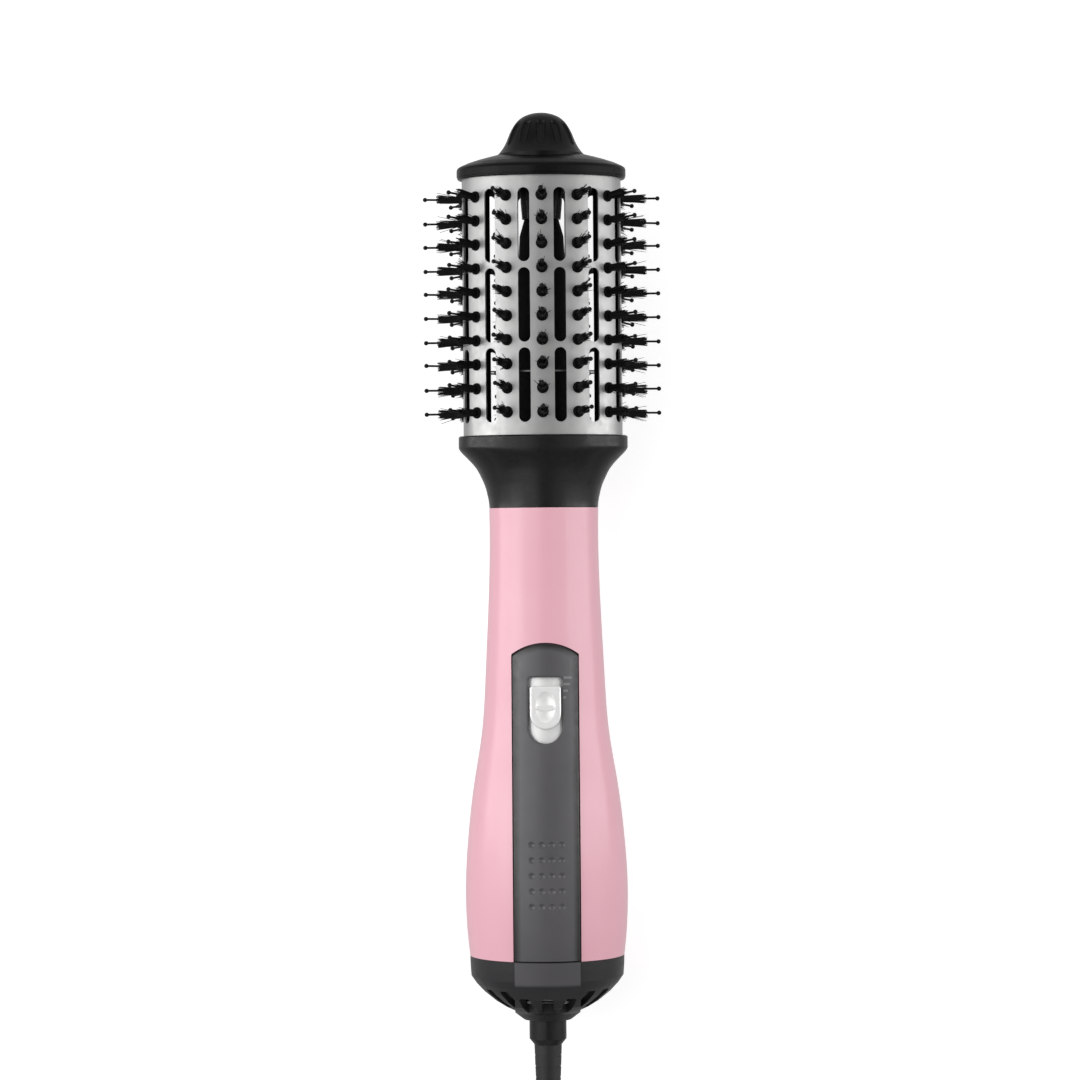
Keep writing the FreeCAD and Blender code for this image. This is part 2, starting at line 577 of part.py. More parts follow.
def make_tip():
    depth = RIM_B / RIM_A
    cap = oval([(y, a, a * depth) for y, a in DISC_PROFILE])
    socket = turned([(0, 132.0), (8.3, 132.0), (8.3, 122.5), (7.7, 115.4), (5.1, 115.4), (5.1, 125.1),
                     (0, 125.1)])
    groove = oval([(129.0, BARREL_A + 0.1, BARREL_B + 0.1), (BARREL_TOP, BARREL_A + 0.1, BARREL_B + 0.1)])
    plug = oval([(131.2, 30.9, 21.5), (BARREL_TOP + 1, 30.9, 21.5)])
    cap = cap.cut(groove).fuse([plug, socket])
    cap = cap.cut([rod(17.4, KNOB_SEAT, 150.0), rod(2.15, 110.0, 145.0)])
    NODES["barrel_end_cap"] = cap
    crown = Part.BSplineCurve()
    crown.interpolate([Vector(r, y, 0) for r, y in KNOB_PROFILE])
    rim_r, rim_y = KNOB_PROFILE[0]
    base = [Part.makeLine(Vector(0, TIP_Y, 0), Vector(0, KNOB_SEAT, 0)),
            Part.makeLine(Vector(0, KNOB_SEAT, 0), Vector(rim_r, KNOB_SEAT, 0)),
            Part.makeLine(Vector(rim_r, KNOB_SEAT, 0), Vector(rim_r, rim_y, 0))]
    knob = Part.Face(Part.Wire([crown.toShape()] + base)).revolve(Vector(0, 0, 0), Vector(0, 1, 0), 360)
    flutes = []
    low, high = [Vector(0, y, z) for y, z in FLUTE_ENDS]
    for k in range(FLUTES):
        flute = Part.makeCylinder(FLUTE_R, (high - low).Length, low, high - low)
        flute = flute.fuse([Part.makeSphere(FLUTE_R, low), Part.makeSphere(FLUTE_R, high)])
        flute.rotate(Vector(0, 0, 0), Vector(0, 1, 0), 360.0 * k / FLUTES)
        flutes.append(flute)
    NODES["cool_tip_knob"] = knob.cut(flutes).cut(rod(2.05, 130.0, 149.5))
    NODES["tip_screw"] = rod(3.4, 115.9, 118.9).fuse(rod(2.0, 118.9, 149.0))


def make_air_guide():
    plate = oval([(22.1, 30.8, 21.4), (23.7, 30.8, 21.4)])
    windows = [box(-7.0, 7.0, 20, 25, z - 3.4, z + 3.4) for z in (-15.4, 15.4)]
    windows += [box(x - 5.0, x + 5.0, 20, 25, 1.4, 13.5) for x in (-19.5, 19.5)]
    windows += [box(x - 5.0, x + 5.0, 20, 25, -13.5, -1.4) for x in (-19.5, 19.5)]
    cone, hollow = [turned([(0, profile[0][1])] + profile + [(0, profile[-1][1])])
                    for profile in (GUIDE_PROFILE, GUIDE_INNER)]
    guide = plate.cut(windows).fuse(cone).cut([hollow, rod(2.1, 110.0, 130.0)])
    NODES["air_guide_core"] = guide
    inset = CARRIER_DEPTH + CARRIER_THICK + 0.5
    a, b = BARREL_A - inset, BARREL_B - inset
    y = CLIP_RING_Y
    ring = oval([(y - 0.3, a, b), (y + 0.3, a, b)])
    NODES["carrier_clip_ring"] = ring.cut(oval([(y - 1, a - 0.6, b - 0.6), (y + 1, a - 0.6, b - 0.6)]))


# ---- heater ----
def make_heater():
    NODES["heater_sleeve"] = tube(SLEEVE_R, SLEEVE_R - SLEEVE_WALL, SHELF_Y, SLEEVE_TOP)
    half = 0.5 * MICA_THICK
    plate = box(-MICA_HALF, MICA_HALF, SHELF_Y, 10.0, -half, half)
    NODES["heater_frame"] = plate.fuse(box(-half, half, SHELF_Y, 10.0, -MICA_HALF, MICA_HALF))
    helix = Part.makeHelix(COIL_PITCH, COIL_PITCH * COIL_TURNS, COIL_R)
    start = Part.Wire(Part.makeCircle(COIL_WIRE_R, Vector(COIL_R, 0, 0), Vector(0, 1, 0)))
    wire = Part.Wire(helix).makePipeShell([start], True, True)
    wire.rotate(Vector(0, 0, 0), Vector(1, 0, 0), -90)
    wire.translate(Vector(0, -40.0, 0))
    NODES["heater_coil"] = wire
    thermostat = box(half, half + 3.0, -49.0, -38.0, 2.0, 10.0)
    fuse_link = rod(1.9, -48.0, -36.5, -half - 1.9, 6.0)
    NODES["heater_cutouts"] = Part.makeCompound([thermostat, fuse_link])


# ---- motor and fan ----
def make_motor():
    duct = tube(DUCT_R, DUCT_INNER_R, -169.0, -119.0)
    hub = tube(14.0, CAN_R + 0.1, -148.0, -121.0)
    vanes = []
    for k in range(5):
        vane = box(-0.6, 0.6, -146.0, -124.0, 13.5, DUCT_INNER_R + 0.5)
        vane.rotate(Vector(0, 0, 0), Vector(0, 1, 0), 72.0 * k)
        vanes.append(vane)
    NODES["motor_duct"] = duct.fuse([hub] + vanes)
    can = rod(CAN_R, CAN_BOTTOM, CAN_TOP).cut([rod(CAN_R - 1.2, CAN_BOTTOM - 1, CAN_TOP - 1.2),
                                               rod(2.55, CAN_BOTTOM, CAN_TOP + 1)])
    NODES["motor_can"] = can
    NODES["motor_end_bell"] = tube(CAN_R - 1.25, 2.55, CAN_BOTTOM, CAN_BOTTOM + 2.2)
    NODES["shaft_bushes"] = Part.makeCompound([tube(2.5, SHAFT_R + 0.05, CAN_TOP - 3.0, CAN_TOP + 1.0),
                                               tube(2.5, SHAFT_R + 0.05, CAN_BOTTOM - 1.0, CAN_BOTTOM + 2.2)])
    NODES["motor_shaft"] = rod(SHAFT_R, FAN_BOTTOM - 2.0, CAN_TOP + 3.5)
    rotor = rod(8.6, -143.5, -127.5)
    slots = []
    for k in range(3):
        slot = box(-1.2, 1.2, -150, -120, 4.2, 12.0)
        slot.rotate(Vector(0, 0, 0), Vector(0, 1, 0), 120.0 * k)
        slots.append(slot)
    rotor = rotor.cut(slots).fuse(rod(2.7, -146.2, -143.5)).cut(rod(SHAFT_R, -150, -120))
    NODES["motor_rotor"] = rotor


def make_fan():
    hub = rod(HUB_R, FAN_BOTTOM, FAN_TOP)
    ring = tube(FAN_R, HUB_R - 1.0, FAN_BOTTOM, FAN_TOP)
    blades = []
    middle = 0.5 * (FAN_TOP + FAN_BOTTOM)
    for k in range(BLADES):
        blade = box(-0.7, 0.7, -12.0, 12.0, HUB_R - 0.5, 30.0)
        blade.rotate(Vector(0, 0, 0), Vector(0, 0, 1), BLADE_ANGLE)
        blade.translate(Vector(0, middle, 0))
        blade.rotate(Vector(0, 0, 0), Vector(0, 1, 0), 360.0 * k / BLADES)
        blades.append(blade.common(ring))
    NODES["fan_impeller"] = hub.fuse(blades).cut(rod(SHAFT_R, -180, -140))


# ---- placing the brush on its surface ----
def resting_tilt():
    """Angle about X that brings the lowest bristle tips and the handle's belly to one level."""
    curve = handle_curve(0.0)
    belly = [curve.value(curve.FirstParameter + k * (curve.LastParameter - curve.FirstParameter) / 400)
             for k in range(401)]
    tip_y = row_heights()[-1]
    tip_z = -(BARREL_B + TUFT_LENGTH - TUFT_TIP_R)
    low, high = 0.0, math.radians(5.0)
    for _ in range(60):
        angle = 0.5 * (low + high)
        tip = tip_z * math.cos(angle) + tip_y * math.sin(angle) - TUFT_TIP_R
        handle = min(-p.x * math.cos(angle) + p.y * math.sin(angle) for p in belly)
        if tip < handle:
            low = angle
        else:
            high = angle
    return angle, -tip


TILT, AXIS_LIFT = resting_tilt()
Y_MIDDLE = 0.5 * (TIP_Y * math.cos(TILT) + RELIEF_END * math.cos(TILT) - RELIEF_TIP_R * math.sin(TILT))
TOOL_PLACE = Placement(Vector(0, -Y_MIDDLE, AXIS_LIFT), Rotation(Vector(1, 0, 0), math.degrees(TILT)))


# ---- free cord, coil, tie and plug ----
def cord_path(points):
    """Straight runs joined by tangent arcs, each as large as its two runs allow."""
    edges = []
    start = points[0]
    length = 0.0
    for before, here, after in zip(points, points[1:], points[2:]):
        back, ahead = (before - here), (after - here)
        turn = math.pi - back.getAngle(ahead)
        shorter = min(back.Length, ahead.Length)
        radius = 0.45 * shorter / math.tan(0.5 * turn)
        back.normalize()
        ahead.normalize()
        enter, leave = here + back * 0.45 * shorter, here + ahead * 0.45 * shorter
        bisector = (back + ahead).normalize()
        centre = here + bisector * (radius / math.cos(0.5 * turn))
        middle = centre - bisector * radius
        edges += [Part.LineSegment(start, enter).toShape(), Part.Arc(enter, middle, leave).toShape()]
        length += (enter - start).Length + radius * turn
        start = leave
        print("cord arc radius %.1f mm, turn %.0f degrees" % (radius, math.degrees(turn)))
    edges.append(Part.LineSegment(start, points[-1]).toShape())
    length += (points[-1] - start).Length
    return Part.Wire(edges), length


def cord_tube(points):
    wire, length = cord_path(points)
    ring = Part.Wire(Part.makeCircle(CORD_R, points[0], points[1] - points[0]))
    solid = wire.makePipeShell([ring], True, False)
    section = math.pi * CORD_R ** 2
    print("cord length %.1f mm, volume %.1f, section times length %.1f"
          % (length, solid.Volume, section * length))
    return solid


def make_cord():
    exit_point = TOOL_PLACE.multVec(Vector(0, RELIEF_END, 0))
    along = TOOL_PLACE.Rotation.multVec(Vector(0, -1, 0))
    lead = [exit_point, exit_point + along * LEAD_START] + [Vector(*point) for point in LEAD_POINTS]
    print("cord exit", exit_point, "direction", along)
    cx, cy = COIL_CENTRE
    height = COIL_LIFT + COIL_LAYERS * 2 * CORD_R
    outer = COIL_OUTER_TURN + CORD_R
    inner = COIL_INNER_TURN - CORD_R
    coil = peg(outer, COIL_LIFT, height, cx, cy).cut(peg(inner, 0, height + 1, cx, cy))
    NODES["cord_coil"] = coil
    tail_x = cx - COIL_OUTER_TURN
    plug_y = cy - PLUG_SETBACK
    tail = rod(CORD_R, plug_y, plug_y + 24.0, tail_x, COIL_LIFT + CORD_R)
    NODES["power_cord"] = Part.makeCompound([cord_tube(lead), tail])
    tie_low, tie_high = cy - outer, cy - inner + 0.4
    band = box(cx - TIE_HALF, cx + TIE_HALF, tie_low - TIE_THICK, tie_high + TIE_THICK, 0, height + TIE_THICK)
    NODES["cord_tie"] = band.cut(box(cx - BIG, cx + BIG, tie_low, tie_high, COIL_LIFT, height))
    make_plug(tail_x, plug_y)


def make_plug(x, y):
    """Two-blade plug lying flat, with its cord entry at (x, y)."""
    neck = Part.makeCone(PLUG_NECK_R, PLUG_NECK_R - 1.6, 13.0, Vector(x, y - 13.0, PLUG_Z), Vector(0, 1, 0))
    front = y - PLUG_LENGTH
    body = box(x - PLUG_HALF, x + PLUG_HALF, front, y - 12.5, PLUG_Z - PLUG_RISE, PLUG_Z + PLUG_RISE)
    body = body.makeFillet(2.4, [edge for edge in body.Edges if min(v.Y for v in edge.Vertexes) > front + 1.0
                                 or abs(edge.Vertexes[0].Y - edge.Vertexes[1].Y) > 1.0])
    NODES["plug_body"] = body.fuse(neck)
    thin, wide = BLADE_HALF
    blades = [box(side - thin, side + thin, front - BLADE_LENGTH, front, PLUG_Z - wide, PLUG_Z + wide)
              for side in (x - BLADE_OFFSET, x + BLADE_OFFSET)]
    NODES["plug_blades"] = Part.makeCompound(blades)


CORD_NODES = ("power_cord", "cord_coil", "cord_tie", "plug_body", "plug_blades")


def export_all():
    os.makedirs("parts", exist_ok=True)
    for name, shape in NODES.items():
        if name not in CORD_NODES:
            shape = shape.copy()
            shape.Placement = TOOL_PLACE.multiply(shape.Placement)
        if not shape.isValid() or not shape.Solids:
            print("CHECK", name, "valid", shape.isValid(), "solids", len(shape.Solids))
        shape.exportStep("parts/" + name + ".step")
        print("%-22s solids %3d volume %9.1f" % (name, len(shape.Solids), shape.Volume))


make_shells()
make_handle_screws()
make_switch_panel()
make_slide_switch()
make_control_board()
make_end_cap()
make_swivel()
make_collar()
make_barrel()
make_bristles()
make_tip()
make_air_guide()
make_heater()
make_motor()
make_fan()
make_cord()
export_all()
print("tilt %.4f degrees, axis lift %.4f mm, y middle %.4f mm" % (math.degrees(TILT), AXIS_LIFT, Y_MIDDLE))
print("nodes", len(NODES))
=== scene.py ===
"""Looks of the hot air brush: camera, materials, cord, plug, tie, bristle hair, marks, floor and light.

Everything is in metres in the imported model's frame. Places on the brush are given in the tool frame: X is to
the right, Y runs along the barrel towards its tip, Z points out of the switch side, and Y = 0 is the joint
between the neck collar and the handle.
"""
import json
import math
import random

import bmesh
import bpy
from mathutils import Matrix, Vector
from mathutils.bvhtree import BVHTree


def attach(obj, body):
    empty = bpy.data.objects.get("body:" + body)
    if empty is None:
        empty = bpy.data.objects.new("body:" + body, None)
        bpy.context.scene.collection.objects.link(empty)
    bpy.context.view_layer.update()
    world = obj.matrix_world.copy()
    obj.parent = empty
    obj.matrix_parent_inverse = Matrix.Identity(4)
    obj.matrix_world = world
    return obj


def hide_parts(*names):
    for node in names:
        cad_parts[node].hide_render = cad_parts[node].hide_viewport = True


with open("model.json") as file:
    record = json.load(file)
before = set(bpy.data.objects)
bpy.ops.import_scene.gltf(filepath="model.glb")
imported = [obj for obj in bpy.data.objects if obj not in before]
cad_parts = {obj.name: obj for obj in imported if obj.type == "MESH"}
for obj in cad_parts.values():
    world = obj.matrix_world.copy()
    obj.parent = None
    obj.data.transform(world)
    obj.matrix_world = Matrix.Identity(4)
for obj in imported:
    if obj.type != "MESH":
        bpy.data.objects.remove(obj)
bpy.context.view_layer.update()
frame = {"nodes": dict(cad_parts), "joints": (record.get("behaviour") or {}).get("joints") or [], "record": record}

MM = 0.001
SLOTS = {part["node"]: part["material_slot"] for part in frame["record"]["subparts"]}
MATERIALS = {}

# ---- tool frame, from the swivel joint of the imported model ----
SWIVEL_Y = -204.5 * MM
swivel = next(joint for joint in frame["joints"] if joint["name"] == "cord_swivel")
RIGHT = Vector((1, 0, 0))
ALONG = Vector(swivel["axis"]).normalized()
UP = RIGHT.cross(ALONG)
ORIGIN = Vector(swivel["pos_m"]) - ALONG * SWIVEL_Y
TOOL = Matrix.Translation(ORIGIN) @ Matrix((RIGHT, ALONG, UP)).transposed().to_4x4()

# ---- camera ----
VIEW_DISTANCE = 1.48
VIEW_WIDTH = 0.432                 # width of the picture where the brush's axis is
VIEW_CENTRE = (-1.6 * MM, -12.8 * MM)
VIEW_ROLL = math.radians(0.47)
SENSOR = 36.0

# ---- colours and surfaces that several materials share ----
PINK = ((0.885, 0.474, 0.556), (0.873, 0.460, 0.542))
GREY = ((0.088, 0.084, 0.090), (0.078, 0.075, 0.080))
BLACK = ((0.0050, 0.0050, 0.0050), (0.0038, 0.0038, 0.0038))
CAP_GREY = ((0.030, 0.029, 0.031), (0.026, 0.025, 0.027))
POCKET_SHADE = ((0.008, 0.008, 0.008), (0.006, 0.006, 0.006))
EDGE_SHADE = ((0.0020, 0.0020, 0.0020), (0.0012, 0.0012, 0.0012))
PINK_ROUGH = 0.34
PINK_GRAIN = (700, 1.5e-6)
PINK_GLOSS = dict(uneven=0.015, specular_ior_level=0.35, coat_weight=0.30, coat_roughness=0.20)
PANEL_ROUGH = 0.38
PANEL_GRAIN = (4200, 1.2e-5)
DRIFT = 70.0                       # features per metre of the slow drift in colour
DRIFT_DETAIL = 3.0
GLOSS_FINER = 6.0                  # features of the uneven gloss for each one of the drift
FINE_DETAIL = 2.0
NOISE_LOW = 0.3                    # the middle range of a noise texture
NOISE_HIGH = 0.7
LEAST_ROUGH = 0.05

# ---- the panel, its pocket in the front shell, and the light band on the end cap's strip; painted shade in the pocket, along the panel's edge and below the band ----
PANEL_HALF = 12.95 * MM            # half width of the panel and of the strip
PANEL_ARCH_R = 21.30 * MM
PANEL_ARCH_Y = -75.0 * MM          # centre of the arch at the panel's top
PANEL_EDGE = 2.8 * MM              # width of the painted shade where the panel's face turns down along its edge
PANEL_EDGE_DARKEST = 0.56 * MM     # the outermost part of that width, where the painted shade is darkest
POCKET_GAP = 0.42 * MM
POCKET_LOW_Z = 5 * MM              # the pocket is higher than this above the brush's axis
BAND_TOP = -178.6 * MM
# the band's lower end: below it the band fades into the cap's darker grey, painted shade on the cap's lower facet
BAND_LOW = -186.9 * MM
BAND_SHADE_FADE = 1.4 * MM
BAND_HALF = PANEL_HALF + 0.02 * MM

# ---- barrel and bristles ----
BARREL_A = 31.8 * MM
BARREL_B = 22.4 * MM
COLUMNS = 12
ROWS = 10
ROW_TOP = 123.4 * MM
ROW_PITCH = 9.51 * MM
BOSS_TOP = 0.9 * MM
PIN_LENGTH = 15.6 * MM
PIN_R = 0.42 * MM
PIN_FLARE = 1.25                   # radius at the pin's root, by its own radius
PIN_SUNK = 0.5 * MM
PIN_SIDES = 8
PIN_LEAN = 0.10                    # how far the pins lean towards the tip, by how much they face upwards
PIN_SCATTER = 0.012
BALL_R = 0.92 * MM
HAIRS = 72
HAIR_LENGTH = 9.3 * MM
HAIR_SHORTEST = 0.88               # by the usual length
HAIR_LONGEST = 1.05
HAIR_R = 0.15 * MM
HAIR_TIP = 0.75                    # radius at the tip, by the hair's own radius
HAIR_SUNK = 0.3 * MM
HAIR_SIDES = 4
HAIR_BEND = 0.2 * MM
BEND_HALFWAY = 0.4                 # how much of its bend a hair has halfway up
HAIR_SPLAY = 0.035                 # how far the outermost hairs lean outwards
SPLAY_SCATTER = 0.018
TUFT_ROOT_R = 1.3 * MM
TUFT_SWEEP = 0.03
GOLDEN_TURN = 2.39996              # radians from one hair to the next round the root
TURN_SCATTER = 0.3
STRAYS = 0.05                      # share of the hairs that stand away from their tuft
STRAY_LEAST = 0.10
STRAY_MOST = 0.28

# ---- cord and coil; the lead's points are those of part.py ----
CORD_R = 3.5 * MM
LEAD = [(0.0, -0.19885, 0.03000), (0.0, -0.21584, 0.02951), (-0.006, -0.232, 0.0245),
        (-0.017, -0.249, 0.0155), (-0.030, -0.268, 0.0111)]
COIL_X = 18.0 * MM
COIL_Y = -296.0 * MM
COIL_OUTER = 56.0 * MM
COIL_INNER = 28.0 * MM
COIL_TOP_Z = 11.1 * MM
COIL_LOW_Z = 4.1 * MM
TURN_START = 150.0                 # degrees round the coil, from +X
TURN_INNER = TURN_START + 4 * 360.0
TURN_DOWN = 120.0                  # the stretch where the cord drops from the upper layer to the lower one
TURN_END = 8.5 * 360.0
TURN_POINTS = 16                   # for each turn
DROP_INSET = 0.5 * MM              # how much further in the cord runs halfway down its drop
TAIL = [(-0.038, -0.309, 0.0041), (-0.038, -0.3175, 0.0048), (-0.038, -0.3255, 0.0066),
        (-0.038, -0.332, 0.0066)]

# ---- tie ----
TIE_HALF = 4.0 * MM                # half width of the strap
TIE_THICK = 0.6 * MM
TIE_CORNER_R = 3.6 * MM
TIE_CORNER_STEPS = 6
TAB_START = 6.0 * MM               # from the coil's outer side to where the strap's loose end begins
TAB_LENGTH = 18.0 * MM
TAB_STEPS = 8
TAB_GAP = 0.05 * MM
TAB_FLAT = 5                       # steps along the loose end that lie flat
TAB_CURL = 1.3 * MM                # how far its last step stands up
TAB_FULL = 6                       # steps along it that have the strap's full width
TAB_TAPER = 0.28                   # how much narrower each further step is

# ---- plug, in millimetres: (distance from the cord's entry, half width, half height, squareness) ----
PLUG_X = -38.0 * MM
PLUG_Y = -326.0 * MM
PLUG_Z = 6.6 * MM
PLUG_NECK = [(0.0, 3.9, 3.9, 2.0), (0.6, 4.4, 4.4, 2.0), (4.0, 4.8, 4.7, 2.0), (8.0, 5.4, 5.1, 2.1),
             (12.0, 6.8, 5.7, 2.4), (14.5, 8.7, 6.1, 2.9), (16.5, 9.5, 6.4, 3.4)]
PLUG_GROOVE = [(0.0, 9.8, 6.5, 3.8), (0.5, 9.3, 6.2, 3.8), (1.2, 9.3, 6.2, 3.8), (1.7, 9.8, 6.5, 3.8)]
PLUG_FRONT = [(34.0, 9.8, 6.5, 4.0), (35.4, 9.6, 6.3, 4.0), (36.0, 9.0, 5.8, 4.0)]
GROOVES = 4
GROOVE_START = 17.5
GROOVE_PITCH = 3.4

# ---- switch marks and the sleeve's flash lines ----
MARK_PLACES = (-67.05, -69.6, -72.2, -74.8)      # millimetres along the brush
MARK_X = 7.0 * MM
MARK_LONGEST = 3.4                 # millimetres
MARK_SHORTER = 0.75                # how much shorter each mark is than the one before
MARK_HALF = 0.42 * MM
MARK_LIFT = 0.02 * MM
MARK_COLUMNS = 8
OVERHEAD = 0.08                    # a height that is above every part of the brush
FLASH_RUNS = ((-204.7, -211.8, 7.4, 7.4), (-212.0, -214.3, 7.35, 5.55))    # mm: two places, their radii
FLASH_TURN = 0.14                  # radians from the middle of the switch side
FLASH_R = 0.07 * MM
FLASH_SIDES = 6

# ---- floor, room and softboxes ----
FLOOR_REACH = 12.0
FLOOR_GLOW = 0.74
ROOM_BRIGHT = ((-0.5, 0.60), (-0.04, 0.60), (0.0, 1.0), (0.12, 0.85), (0.35, 0.62), (0.92, 0.30))
ROOM_DIM = ((-0.5, 0.35), (-0.04, 0.35), (0.0, 1.0), (0.10, 0.75), (0.20, 0.34), (0.92, 0.30))
ALL_DIM = -0.75                    # Y of the direction in which the room is wholly dim
ALL_BRIGHT = 0.10
SOFTBOXES = [                      # (name, place, aim, size, power)
    ("key_left", (-0.82, 0.10, 0.94), (0.0, 0.0, 0.0), (1.05, 1.50), 6.7),
    ("side_left", (-1.15, 0.05, 0.30), (0.0, 0.0, 0.02), (0.26, 1.40), 4.0),
    ("side_right", (1.15, 0.05, 0.30), (0.0, 0.0, 0.02), (0.26, 1.40), 3.6),
    ("fill_right", (0.92, 0.05, 0.85), (0.0, 0.0, 0.0), (0.90, 1.50), 2.6),
    ("tip_light", (0.05, 1.20, 0.60), (0.0, 0.05, 0.0), (0.90, 0.40), 0.7),
]


# ---- camera and meshes ----
def make_camera():
    data = bpy.data.cameras.new("camera")
    data.sensor_width = SENSOR
    data.lens = SENSOR * VIEW_DISTANCE / VIEW_WIDTH
    data.dof.use_dof = False
    cam = bpy.data.objects.new("camera", data)
    bpy.context.scene.collection.objects.link(cam)
    x, y = VIEW_CENTRE
    cam.matrix_world = TOOL @ Matrix.Translation((x, y, VIEW_DISTANCE)) @ Matrix.Rotation(-VIEW_ROLL, 4, "Z")
    bpy.context.scene.camera = cam


def make_piece(name, points, faces, body, material, smooth_angle=40.0):
    """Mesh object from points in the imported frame, riding on a body, in one of the materials."""
    mesh = bpy.data.meshes.new(name)
    mesh.from_pydata([tuple(p) for p in points], [], faces)
    mesh.validate()
    mesh.polygons.foreach_set("use_smooth", [True] * len(mesh.polygons))
    mesh.set_sharp_from_angle(angle=math.radians(smooth_angle))
    piece = bpy.data.objects.new(name, mesh)
    bpy.context.scene.collection.objects.link(piece)
    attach(piece, body)
    mesh.materials.append(MATERIALS[material])
    return piece


def loft(rings, close_ends=True):
    """Points and faces through rings that all have the same number of points."""
    count = len(rings[0])
    points = [p for ring in rings for p in ring]
    faces = []
    for k in range(len(rings) - 1):
        for i in range(count):
            j = (i + 1) % count
            faces.append((k * count + i, k * count + j, (k + 1) * count + j, (k + 1) * count + i))
    if close_ends:
        faces.append(tuple(reversed(range(count))))
        faces.append(tuple(range((len(rings) - 1) * count, len(rings) * count)))
    return points, faces


def squircle(centre, across, up, half_a, half_b, power, count=48):
    """Ring of points on a superellipse; power 2 is an ellipse."""
    ring = []
    for k in range(count):
        t = 2 * math.pi * k / count
        c, s = math.cos(t), math.sin(t)
        a = math.copysign(abs(c) ** (2 / power), c) * half_a
        b = math.copysign(abs(s) ** (2 / power), s) * half_b
        ring.append(Vector(centre) + across * a + up * b)
    return ring


# ---- shader nodes ----
def shade(name, light, dark, roughness, grain, drift=DRIFT, metallic=0.0, uneven=0.06, **fixed):
    """Material with a slow drift between two colours, uneven gloss and a fine grain.

    grain is (features per metre, height in metres); fixed holds more inputs of the shader, by name.
    """
    made = bpy.data.materials.new(name)
    made.use_nodes = True
    tree = made.node_tree
    shader = tree.nodes["Principled BSDF"]
    place = tree.nodes.new("ShaderNodeTexCoord").outputs["Object"]
    colour = mottled(tree, noise(tree, place, drift, DRIFT_DETAIL), light, dark)
    tree.links.new(colour, shader.inputs["Base Color"])
    gloss = tree.nodes.new("ShaderNodeMapRange")
    tree.links.new(noise(tree, place, GLOSS_FINER * drift, FINE_DETAIL), gloss.inputs["Value"])
    gloss.inputs["From Min"].default_value = NOISE_LOW
    gloss.inputs["From Max"].default_value = NOISE_HIGH
    gloss.inputs["To Min"].default_value = max(LEAST_ROUGH, roughness - uneven)
    gloss.inputs["To Max"].default_value = roughness + uneven
    tree.links.new(gloss.outputs["Result"], shader.inputs["Roughness"])
    features, height = grain
    bump = tree.nodes.new("ShaderNodeBump")
    bump.inputs["Strength"].default_value = 1.0
    bump.inputs["Distance"].default_value = height
    tree.links.new(noise(tree, place, features, FINE_DETAIL), bump.inputs["Height"])
    tree.links.new(bump.outputs["Normal"], shader.inputs["Normal"])
    shader.inputs["Metallic"].default_value = metallic
    for key, value in fixed.items():
        shader.inputs[key.replace("_", " ").title().replace("Ior", "IOR")].default_value = value
    MATERIALS[name] = made
    return made


def noise(tree, place, scale, detail):
    made = tree.nodes.new("ShaderNodeTexNoise")
    made.inputs["Scale"].default_value = scale
    made.inputs["Detail"].default_value = detail
    tree.links.new(place, made.inputs["Vector"])
    return made.outputs["Fac"]


def mottled(tree, share, light, dark):
    """Colour that runs from light to dark as share goes through its middle range."""
    ramp = tree.nodes.new("ShaderNodeValToRGB")
    first, last = ramp.color_ramp.elements
    first.position = NOISE_LOW
    first.color = (*light, 1)
    last.position = NOISE_HIGH
    last.color = (*dark, 1)
    tree.links.new(share, ramp.inputs["Fac"])
    return ramp.outputs["Color"]


def mix_colours(tree, share, first, second):
    """The first colour where share is 0, and the second where it is 1."""
    mix = tree.nodes.new("ShaderNodeMix")
    mix.data_type = "RGBA"
    factor, colour_a, colour_b = mix.inputs[0], mix.inputs[6], mix.inputs[7]
    tree.links.new(share, factor)
    tree.links.new(first, colour_a)
    tree.links.new(second, colour_b)
    return mix.outputs[2]


def math_node(tree, operation, first, second=0.0):
    """Result of a Math node; second is a number or another node's output."""
    made = tree.nodes.new("ShaderNodeMath")
    made.operation = operation
    tree.links.new(first, made.inputs[0])
    if isinstance(second, float):
        made.inputs[1].default_value = second
    else:
        tree.links.new(second, made.inputs[1])
    return made.outputs[0]


def all_of(tree, *shares):
    """Product of several shares."""
    product = shares[0]
    for share in shares[1:]:
        product = math_node(tree, "MULTIPLY", product, share)
    return product


def ramp_node(tree, value, zero, one):
    """Runs from 0 to 1 as value goes from zero to one."""
    ramp = tree.nodes.new("ShaderNodeMapRange")
    ramp.inputs["From Min"].default_value = zero
    ramp.inputs["From Max"].default_value = one
    tree.links.new(value, ramp.inputs["Value"])
    return ramp.outputs["Result"]


def paint_over(tree, share, light, dark):
    """Mixes another mottled colour over the material's own, where share is 1."""
    base = tree.nodes["Principled BSDF"].inputs["Base Color"]
    place = tree.nodes.new("ShaderNodeTexCoord").outputs["Object"]
    paint = mottled(tree, noise(tree, place, DRIFT, DRIFT_DETAIL), light, dark)
    tree.links.new(mix_colours(tree, share, base.links[0].from_socket, paint), base)


def brush_coordinates(tree):
    """Distances across, along and above the brush's axis, as outputs of nodes."""
    place = tree.nodes.new("ShaderNodeTexCoord").outputs["Object"]
    outputs = []
    for axis in (RIGHT, ALONG, UP):
        dot = tree.nodes.new("ShaderNodeVectorMath")
        dot.operation = "DOT_PRODUCT"
        dot.inputs[1].default_value = axis
        tree.links.new(place, dot.inputs[0])
        outputs.append(math_node(tree, "SUBTRACT", dot.outputs["Value"], ORIGIN.dot(axis)))
    return outputs


